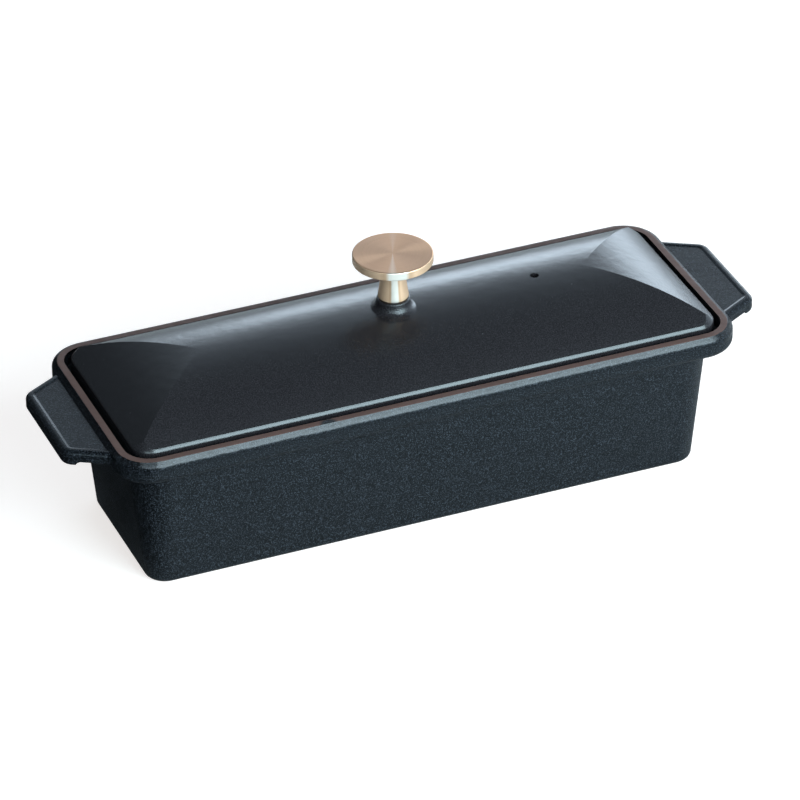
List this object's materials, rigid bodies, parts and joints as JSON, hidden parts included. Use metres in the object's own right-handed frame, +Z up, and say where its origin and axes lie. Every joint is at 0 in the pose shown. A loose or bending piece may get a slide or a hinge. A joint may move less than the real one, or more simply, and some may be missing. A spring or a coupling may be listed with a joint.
{
  "type": "terrine dish",
  "caption": "Long rectangular cast-iron terrine dish with end handles, stepped rim, hipped lid that rests in the rim and a turned knob.",
  "frame": {"origin": "middle of the flat base, on the table", "axes": "+X along the length towards the steam hole's end, +Y across the dish, +Z up"},
  "size_m": [0.3394, 0.114, 0.1212],
  "materials": {
    "black_enamel": "satin black enamel with a fine cast grain",
    "bronze_knob": "turned and brushed, rosy brass",
    "steel_fixing": "plain stainless"
  },
  "bodies": {
    "root": {"dish": "black_enamel", "lid": "black_enamel", "knob": "bronze_knob", "knob_washer": "steel_fixing", "knob_screw": "steel_fixing"}
  },
  "joints": []
}
